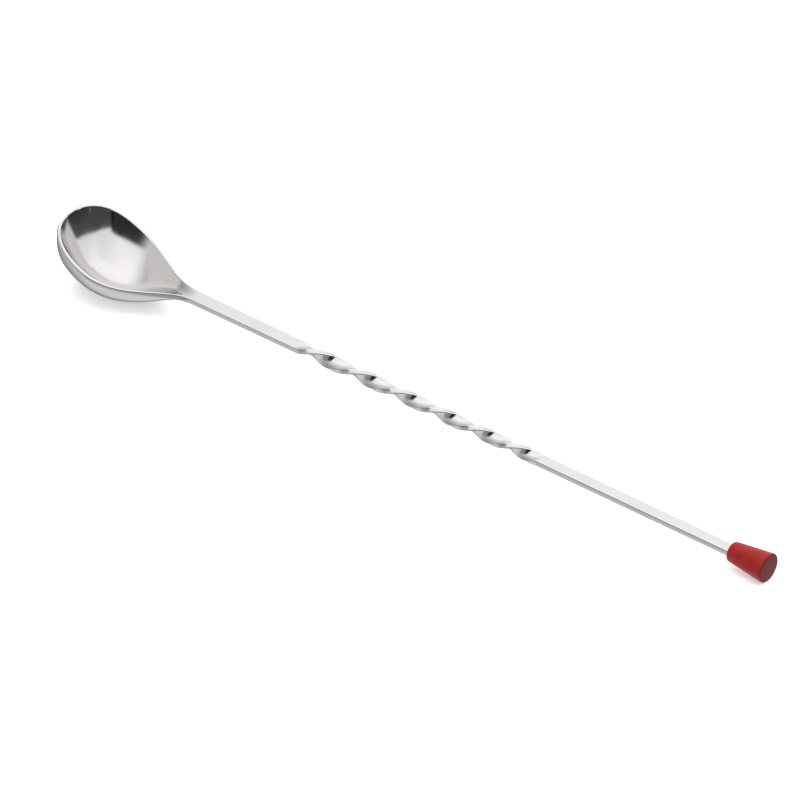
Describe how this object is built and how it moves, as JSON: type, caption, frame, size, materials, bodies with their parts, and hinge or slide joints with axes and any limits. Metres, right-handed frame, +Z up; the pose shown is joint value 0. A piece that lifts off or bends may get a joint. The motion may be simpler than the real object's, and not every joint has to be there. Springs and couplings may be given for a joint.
{
  "type": "bar spoon",
  "caption": "Long stainless bar spoon with a deep oval bowl, a flat stem twisted in its middle and a red cone knob pushed on its end, for stirring and layering drinks.",
  "frame": {"origin": "below the middle of the spoon's length and width, at the height of the bowl's lowest point", "axes": "+X along the stem from the bowl to the knob, +Y across the bowl, +Z up out of the bowl"},
  "size_m": [0.28, 0.031, 0.0216],
  "materials": {
    "steel": "bright polished stainless steel, with a faint lengthwise grain on the stem",
    "knob_plastic": "moulded, soft gloss"
  },
  "bodies": {
    "spoon": {"spoon": "steel"},
    "knob": {"knob": "knob_plastic"}
  },
  "joints": [
    {"name": "knob_pull_off", "type": "slide", "parent": "spoon", "child": "knob", "axis": [1, 0, 0], "range_m": [0, 0.016]}
  ]
}
